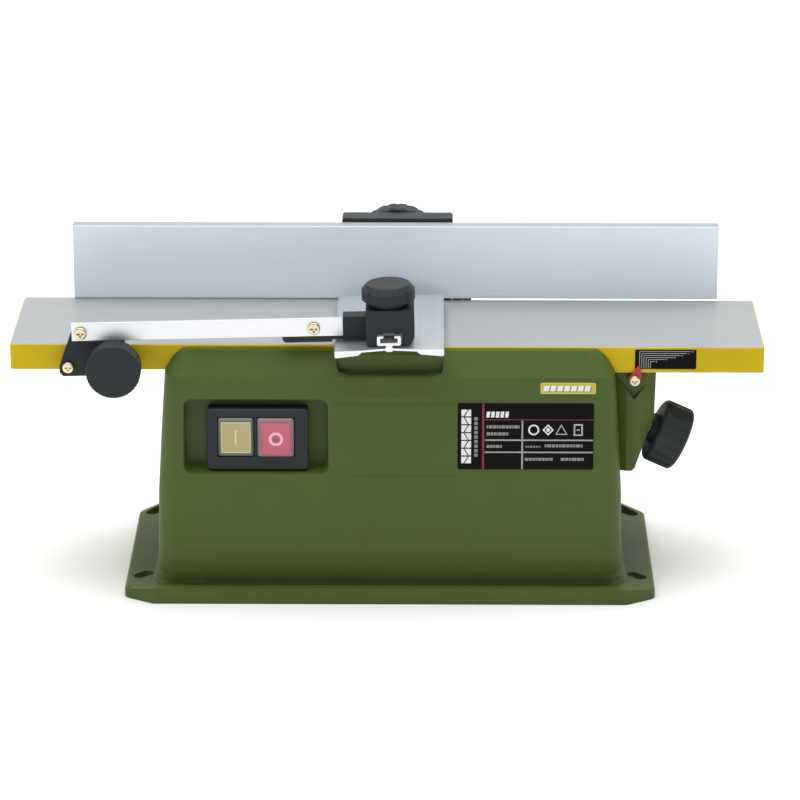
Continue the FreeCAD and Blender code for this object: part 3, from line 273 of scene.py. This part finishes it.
ALONG_X = (12.0, 3200.0, 3200.0)    # brush marks, in cycles per metre along each axis
ALONG_Y = (3200.0, 14.0, 3200.0)
FINISHES = {
    "green_shell": moulded("green_shell_finish", (0.066, 0.099, 0.018), 0.48, spread=0.05,
                           specular=0.24),
    "table_metal": milled_and_painted("table_finish", (0.385, 0.400, 0.400), (0.55, 0.405, 0.003)),
    # The fence's and the bar's tops and rear faces get painted shade: darker colours by the way
    # they face.
    "fence_metal": brushed("fence_finish", (0.80, 0.88, 0.95), 0.40, ALONG_X, metallic=0.15,
                           shaded_sides=(("Z", (0.36, 0.375, 0.385)), ("Y", (0.48, 0.52, 0.56)))),
    "bar_metal": brushed("bar_finish", (0.80, 0.81, 0.83), 0.34, ALONG_Y, metallic=0.8,
                         shaded_sides=(("Z", (0.60, 0.625, 0.65)), ("Y", (0.60, 0.61, 0.63)))),
    "black_plastic": moulded("black_plastic_finish", (0.020, 0.025, 0.027), 0.46, wear=2.2,
                             specular=0.20),
    "black_metal": moulded("black_metal_finish", (0.031, 0.037, 0.040), 0.50, grain=900.0,
                           wear=2.0, specular=0.24),
    "plated_screw": turned("plated_screw_finish", (0.74, 0.67, 0.46), 0.30),
    "steel": turned("steel_finish", (0.56, 0.56, 0.55), 0.32),
    "tool_steel": turned("tool_steel_finish", (0.46, 0.47, 0.49), 0.24),
    "cast_frame": moulded("cast_frame_finish", (0.022, 0.027, 0.018), 0.60, grain=700.0,
                          depth=0.06 * MM),
    "bronze": turned("bronze_finish", (0.50, 0.34, 0.14), 0.36),
    "motor_metal": turned("motor_metal_finish", (0.42, 0.43, 0.44), 0.40),
    "copper": turned("copper_finish", (0.70, 0.30, 0.17), 0.30),
    "belt_rubber": moulded("belt_finish", (0.020, 0.020, 0.021), 0.70, grain=2500.0, wear=1.6),
    "carbon": moulded("carbon_finish", (0.030, 0.030, 0.032), 0.55, grain=3000.0),
    "start_cap": lens("start_finish", (0.150, 0.145, 0.135)),
    "stop_cap": lens("stop_finish", (0.260, 0.165, 0.195)),
    "label_black": printed("label_black_finish", (0.0045, 0.0042, 0.0040), 0.38, specular=0.07),
    "label_yellow": printed("label_yellow_finish", (0.55, 0.50, 0.06), 0.35),
    "pointer_red": moulded("pointer_finish", (0.42, 0.030, 0.040), 0.40),
    "board_green": printed("board_finish", (0.020, 0.10, 0.045)),
    "chute_plastic": moulded("chute_finish", (0.028, 0.029, 0.030), 0.50),
}
WHITE_PRINT = printed("white_print_finish", (0.80, 0.81, 0.79))
GREY_PRINT = printed("grey_print_finish", (0.42, 0.43, 0.42))
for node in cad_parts.values():
    slot = node.data.materials[0].name
    node.material_slots[0].material = FINISHES[slot].material


# ---------------------------------------------------------------- raised print and inserts

SUNK = 0.05                 # how far a laid piece reaches into the face below it, in millimetres
BEVEL_STEPS = 3
BEVEL_FROM = math.radians(40)
ROUND = 36                  # sides of what looks like a circle
CORNER_STEPS = 5


class Sheet:
    """A flat face to lay thin pieces on: a corner, and unit vectors to the right and up."""

    def __init__(self, corner, right, up):
        self.corner = Vector(corner)
        self.right = Vector(right).normalized()
        self.up = Vector(up).normalized()
        self.out = self.right.cross(self.up)

    def at(self, u, v, height):
        """The place u to the right, v up and height off the face, in millimetres."""
        return self.corner + (self.right * u + self.up * v + self.out * height) * MM


def raise_island(shape, sheet, outline, low, high):
    """A closed block over an outline, from one height to another."""
    foot = [shape.verts.new(sheet.at(u, v, low)) for u, v in outline]
    top = [shape.verts.new(sheet.at(u, v, high)) for u, v in outline]
    shape.faces.new(top)
    shape.faces.new(foot[::-1])
    for i in range(len(outline)):
        j = (i + 1) % len(outline)
        shape.faces.new((foot[i], foot[j], top[j], top[i]))


def raise_band(shape, sheet, outer, inner, low, high):
    """A closed strip between two outlines of the same count, from one height to another."""
    rings = [[shape.verts.new(sheet.at(u, v, height)) for u, v in outline]
             for outline, height in ((outer, low), (outer, high), (inner, high), (inner, low))]
    for ring, following in zip(rings, rings[1:] + rings[:1]):
        for i in range(len(ring)):
            j = (i + 1) % len(ring)
            shape.faces.new((ring[i], ring[j], following[j], following[i]))


def lay(name, sheet, outlines, height, finish, body="root", bevel=0.0, bands=()):
    """One piece of flat-topped islands, each the shape of its outline on the sheet.

    Each of the bands is an outer and an inner outline, with a strip between them.  Height and
    bevel are in millimetres.
    """
    shape = bmesh.new()
    for outline in outlines:
        raise_island(shape, sheet, outline, -SUNK, height)
    for outer, inner in bands:
        raise_band(shape, sheet, outer, inner, -SUNK, height)
    bmesh.ops.recalc_face_normals(shape, faces=shape.faces)
    mesh = bpy.data.meshes.new(name)
    shape.to_mesh(mesh)
    shape.free()
    mesh.materials.append(finish.material)
    piece = bpy.data.objects.new(name, mesh)
    bpy.context.scene.collection.objects.link(piece)
    if bevel:
        rounding = piece.modifiers.new("edges", "BEVEL")
        rounding.width = bevel * MM
        rounding.segments = BEVEL_STEPS
        rounding.limit_method = "ANGLE"
        rounding.angle_limit = BEVEL_FROM
    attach(piece, body)


def bar(u0, u1, v0, v1, slant=0.0):
    """A rectangle, or a parallelogram whose top is shifted by the slant."""
    return [(u0, v0), (u1, v0), (u1 + slant, v1), (u0 + slant, v1)]


def soft_bar(u0, u1, v0, v1, radius):
    """A rectangle with rounded corners."""
    outline = []
    for u, v, start in ((u1 - radius, v0 + radius, 270), (u1 - radius, v1 - radius, 0),
                        (u0 + radius, v1 - radius, 90), (u0 + radius, v0 + radius, 180)):
        for step in range(CORNER_STEPS + 1):
            angle = math.radians(start + 90 * step / CORNER_STEPS)
            outline.append((u + radius * math.cos(angle), v + radius * math.sin(angle)))
    return outline


def regular(u, v, radius, sides=ROUND, turn=0.0):
    """A regular polygon round a middle point, turned by that many degrees."""
    angles = [math.radians(turn) + 2 * math.pi * i / sides for i in range(sides)]
    return [(u + radius * math.cos(angle), v + radius * math.sin(angle)) for angle in angles]


def ring_of(u, v, outer, inner, sides=ROUND, turn=0.0):
    """The two outlines of a ring, or of a polygon's rim, of that many sides."""
    return regular(u, v, outer, sides, turn), regular(u, v, inner, sides, turn)


def front_of(node, thickness=0.0):
    """The front face of a node as a sheet, its width and its height in millimetres.

    A plate on the leaning front wall needs its thickness, to tell how far the face leans.
    """
    low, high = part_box(node)
    lean = (high.y - low.y) - thickness * MM if thickness else 0.0
    up = Vector((0.0, lean, high.z - low.z))
    return Sheet(low, (1, 0, 0), up), (high.x - low.x) / MM, up.length / MM


def dress_buttons():
    """Coloured inserts in the two clear button caps, with their I and O."""
    sheet, width, tall = front_of("start_button")
    insert = soft_bar(1.5, width - 1.4, 2.1, tall - 2.1, 0.7)
    inside = soft_bar(2.0, width - 1.9, 2.6, tall - 2.6, 0.4)
    stroke = soft_bar(width / 2 - 0.45, width / 2 + 0.35, tall / 2 - 3.9, tall / 2 + 4.2, 0.3)
    lay("start_insert", sheet, [insert], 0.35,
        lens("start_insert_finish", (0.47, 0.40, 0.185)), "start", bevel=0.25)
    lay("start_insert_rim", sheet, [], 0.42,
        lens("start_rim_finish", (0.60, 0.58, 0.36)), "start", bands=[(insert, inside)])
    lay("start_mark", sheet, [stroke], 0.45,
        printed("start_mark_finish", (0.74, 0.68, 0.44)), "start")

    sheet, width, tall = front_of("stop_button")
    insert = soft_bar(2.3, width - 1.7, 1.7, tall - 2.2, 0.9)
    middle = (width / 2 + 0.2, tall / 2 - 0.5)
    outer_radius, inner_radius = 3.8, 2.3
    lay("stop_insert", sheet, [insert], 0.35,
        lens("stop_insert_finish", (0.56, 0.115, 0.165)), "stop", bevel=0.25)
    lay("stop_mark", sheet, [], 0.48, printed("stop_mark_finish", (0.92, 0.46, 0.55)), "stop",
        bands=[ring_of(*middle, outer_radius, inner_radius)])
    lay("stop_mark_middle", sheet, [regular(*middle, inner_radius)], 0.40,
        lens("stop_middle_finish", (0.36, 0.11, 0.14)), "stop")


def text_row(number, width, tall, middle, start, end, step, size):
    """Short bars that stand for a line of small print.

    The line's middle is a share of the plate's height from its top, and its ends are shares of
    the width.  The bars' mean length and their height are in millimetres.
    """
    bars = []
    gap = 0.35
    v = tall * (1 - middle)
    u = start * width
    while u < end * width:
        run = step * (0.75 + 0.25 * ((len(bars) * 7 + number * 3) % 4))
        bars.append(bar(u, min(u + run - gap, end * width), v - size / 2, v + size / 2))
        u += run
    return bars


def split_blocks(left, right, bottom, length, count):
    """A column of blocks, each cut in two by a slanted slit, the slants by turns."""
    pitch = length / count
    slit = 0.3
    middle = (left + right) / 2
    halves = []
    for i in range(count):
        low = bottom + pitch * i + 0.25
        high = low + pitch - 0.65
        slant = -1.1 if i % 2 else 1.1
        halves.append([(left, low), (middle - slit - slant, low),
                       (middle - slit + slant, high), (left, high)])
        halves.append([(middle + slit - slant, low), (right, low),
                       (right, high), (middle + slit + slant, high)])
    return halves


def dress_rating_plate():
    """Rules, block lettering that says nothing, and four plain icons on the rating plate.

    Places are shares of the plate's width from the left and of its height from the top.
    """
    sheet, width, tall = front_of("rating_plate", 0.3)
    print_height, bold_height = 0.05, 0.06
    far_edge = 0.995

    def across(start, middle, thick):
        v = tall * (1 - middle)
        return bar(start * width, far_edge * width, v - thick / 2, v + thick / 2)

    def down(middle, top, thick):
        u = width * middle
        return bar(u - thick / 2, u + thick / 2, tall * (1 - far_edge), tall * (1 - top))

    lay("plate_red_rules", sheet, [down(0.187, 0.005, 1.15), across(0.197, 0.248, 0.5)],
        print_height, printed("plate_red_finish", (0.22, 0.022, 0.050)))
    lay("plate_rules", sheet,
        [across(0.198, 0.556, 0.75), across(0.198, 0.740, 0.75), down(0.475, 0.262, 0.8)],
        print_height, printed("plate_rule_finish", (0.36, 0.37, 0.36)))

    blocks = split_blocks(0.026 * width, 0.098 * width, tall * 0.085, 0.83 * tall, 7)
    for i in range(5):
        u = (0.209 + 0.0345 * i) * width
        blocks.append(bar(u, u + 1.75, tall * 0.785, tall * 0.875, 0.35))
    lay("plate_blocks", sheet, blocks, bold_height,
        printed("plate_white_finish", (0.78, 0.79, 0.77)))

    small = []
    for i in range(9):
        v = tall * (0.19 + 0.069 * i)
        small.append(bar(0.121 * width, 0.147 * width, v, v + 1.7))
    rows = [(0.355, 0.212, 0.455, 1.5, 1.7), (0.462, 0.212, 0.375, 1.4, 1.7),
            (0.652, 0.212, 0.325, 1.6, 1.6), (0.655, 0.50, 0.61, 1.2, 0.9),
            (0.640, 0.64, 0.92, 1.7, 1.6), (0.845, 0.495, 0.70, 1.5, 1.6),
            (0.845, 0.76, 0.93, 1.9, 1.6)]
    for number, row in enumerate(rows):
        small += text_row(number, width, tall, *row)
    lay("plate_small_print", sheet, small, print_height,
        printed("plate_grey_finish", (0.24, 0.245, 0.24)))

    v = tall * (1 - 0.40)
    ring_u, diamond_u, triangle_u = 0.559 * width, 0.665 * width, 0.762 * width
    lay("plate_icons", sheet, [regular(diamond_u, v, 1.0, 24)], bold_height, WHITE_PRINT,
        bands=[ring_of(ring_u, v, 2.9, 2.1), ring_of(diamond_u, v, 3.0, 2.1, sides=4)])
    left, right = 0.853 * width, 0.920 * width
    lay("plate_grey_icons", sheet, [bar(left + 1.6, right - 1.6, v - 0.35, v + 0.35)],
        bold_height, GREY_PRINT,
        bands=[ring_of(triangle_u, v - 0.7, 3.8, 2.8, sides=3, turn=90),
               (bar(left, right, v - 3.2, v + 3.2),
                bar(left + 0.8, right - 0.8, v - 2.4, v + 2.4))])


def dress_badge():
    """A raised rim and slanted blocks on the small plate; the blocks say nothing."""
    sheet, width, tall = front_of("badge_plate", 0.4)
    outer = soft_bar(0.05, width - 0.05, 0.05, tall - 0.05, 0.8)
    inner = soft_bar(0.55, width - 0.55, 0.55, tall - 0.55, 0.4)
    lay("badge_rim", sheet, [], 0.18, printed("badge_rim_finish", (0.62, 0.60, 0.13), 0.3),
        bands=[(outer, inner)])
    blocks, shadows = [], []
    count = 7
    pitch = (width - 3.9) / count
    slant = 0.6
    for i in range(count):
        u = 1.5 + pitch * i
        blocks.append(bar(u, u + pitch - 0.8, 1.45, 4.5, slant))
        shadows.append(bar(u + 0.4, u + pitch - 0.35, 1.15, 4.2, slant))
    lay("badge_shadows", sheet, shadows, 0.05,
        printed("badge_shadow_finish", (0.22, 0.17, 0.05)))
    lay("badge_blocks", sheet, blocks, 0.12, WHITE_PRINT)


# The strokes of each digit: a top, b and c right, d bottom, e and f left, g across the middle.
SEGMENTS = {0: "abcdef", 1: "bc", 2: "abged", 3: "abgcd", 4: "fgbc", 5: "afgcd"}


def numeral(value, u, v):
    """A digit as straight strokes, its lower left corner at the place given."""
    wide, high, pen = 0.62, 1.05, 0.15
    middle = high / 2
    strokes = {"a": (0, wide, high - pen, high), "d": (0, wide, 0, pen),
               "g": (0, wide, middle - pen / 2, middle + pen / 2),
               "f": (0, pen, middle, high), "e": (0, pen, 0, middle),
               "b": (wide - pen, wide, middle, high), "c": (wide - pen, wide, 0, middle)}
    return [bar(u + strokes[key][0], u + strokes[key][1], v + strokes[key][2], v + strokes[key][3])
            for key in SEGMENTS[value]]


def dress_depth_scale():
    """Nested lines that run from the scale's foot to their numbers, 0 to 5."""
    sheet, width, tall = front_of("depth_scale")
    ends = (0.93, 0.86, 0.76, 0.64, 0.50, 0.34)     # as shares of the label's width
    pen = 0.28
    lines = []
    for value, end in enumerate(ends):
        u = 2.3 + 1.15 * value
        v = tall - 0.85 - 1.12 * value
        lines.append(bar(u, width * end - 0.5, v - pen, v))
        lines.append(bar(u, u + pen, 0.4, v - pen))
        lines += numeral(value, width * end, v - 0.72)
    lay("scale_lines", sheet, lines, 0.04,
        printed("scale_line_finish", (0.42, 0.42, 0.43)), "infeed")


# ---------------------------------------------------------------- stage, light and camera

def stage_floor():
    """A plain pale floor, far wider than the view."""
    finish = Finish("floor_finish", (0.94, 0.94, 0.94), 0.70)
    mottle = finish.noise(6.0)
    finish.colour(finish.blend(finish.between(mottle, *NOISE_SPAN),
                               (0.93, 0.93, 0.93), (0.95, 0.95, 0.95)))
    mesh = bpy.data.meshes.new("floor")
    half = 6.0
    corners = [(-half, -half, 0.0), (half, -half, 0.0), (half, half, 0.0), (-half, half, 0.0)]
    mesh.from_pydata(corners, [], [(0, 1, 2, 3)])
    mesh.materials.append(finish.material)
    floor = bpy.data.objects.new("floor", mesh)
    bpy.context.scene.collection.objects.link(floor)


def softbox(name, place, target, size, watts):
    """A square area light that looks at its target."""
    lamp = bpy.data.lights.new(name, "AREA")
    lamp.size = size
    lamp.energy = watts
    light = bpy.data.objects.new(name, lamp)
    light.location = place
    light.rotation_euler = (Vector(target) - Vector(place)).to_track_quat("-Z", "Y").to_euler()
    bpy.context.scene.collection.objects.link(light)


def studio():
    """A white room, bright behind and dim in front, with lights above and to the left."""
    world = bpy.data.worlds.new("white_room")
    world.use_nodes = True
    nodes = world.node_tree.nodes
    links = world.node_tree.links
    places = nodes.new("ShaderNodeTexCoord")
    split = nodes.new("ShaderNodeSeparateXYZ")
    links.new(places.outputs["Generated"], split.inputs["Vector"])
    depth = nodes.new("ShaderNodeMapRange")
    dim_until, bright_from = -0.75, 0.25        # along Y, as a part of the direction
    dim, bright = 0.30, 0.92
    depth.inputs["From Min"].default_value = dim_until
    depth.inputs["From Max"].default_value = bright_from
    depth.inputs["To Min"].default_value = dim
    depth.inputs["To Max"].default_value = bright
    depth.interpolation_type = "SMOOTHSTEP"
    links.new(split.outputs["Y"], depth.inputs["Value"])
    background = nodes["Background"]
    background.inputs["Color"].default_value = (1.0, 1.0, 1.0, 1.0)
    links.new(depth.outputs["Result"], background.inputs["Strength"])
    bpy.context.scene.world = world
    softbox("top_light", (0.0, -0.1, 2.2), target=(0.0, 0.0, 0.0), size=2.6, watts=57.0)
    softbox("left_light", (-1.6, -1.1, 0.9), target=(0.0, 0.0, 0.1), size=1.0, watts=5.0)


def camera():
    """A long lens a little above the tables, almost square to the front."""
    target = Vector((5.0, 0.0, 92.0)) * MM
    distance = 2.118
    elevation = math.radians(19.15)
    azimuth = math.radians(0.473)
    away = Vector((math.cos(elevation) * math.sin(azimuth),
                   -math.cos(elevation) * math.cos(azimuth),
                   math.sin(elevation)))
    data = bpy.data.cameras.new("camera")
    data.lens = 175.85          # in millimetres, for a sensor 36 mm wide
    data.sensor_width = 36.0
    view = bpy.data.objects.new("camera", data)
    view.location = target + away * distance
    view.rotation_euler = (-away).to_track_quat("-Z", "Y").to_euler()
    bpy.context.scene.collection.objects.link(view)
    bpy.context.scene.camera = view
    bpy.context.scene.view_settings.view_transform = "Standard"


dress_buttons()
dress_rating_plate()
dress_badge()
dress_depth_scale()
stage_floor()
studio()
camera()
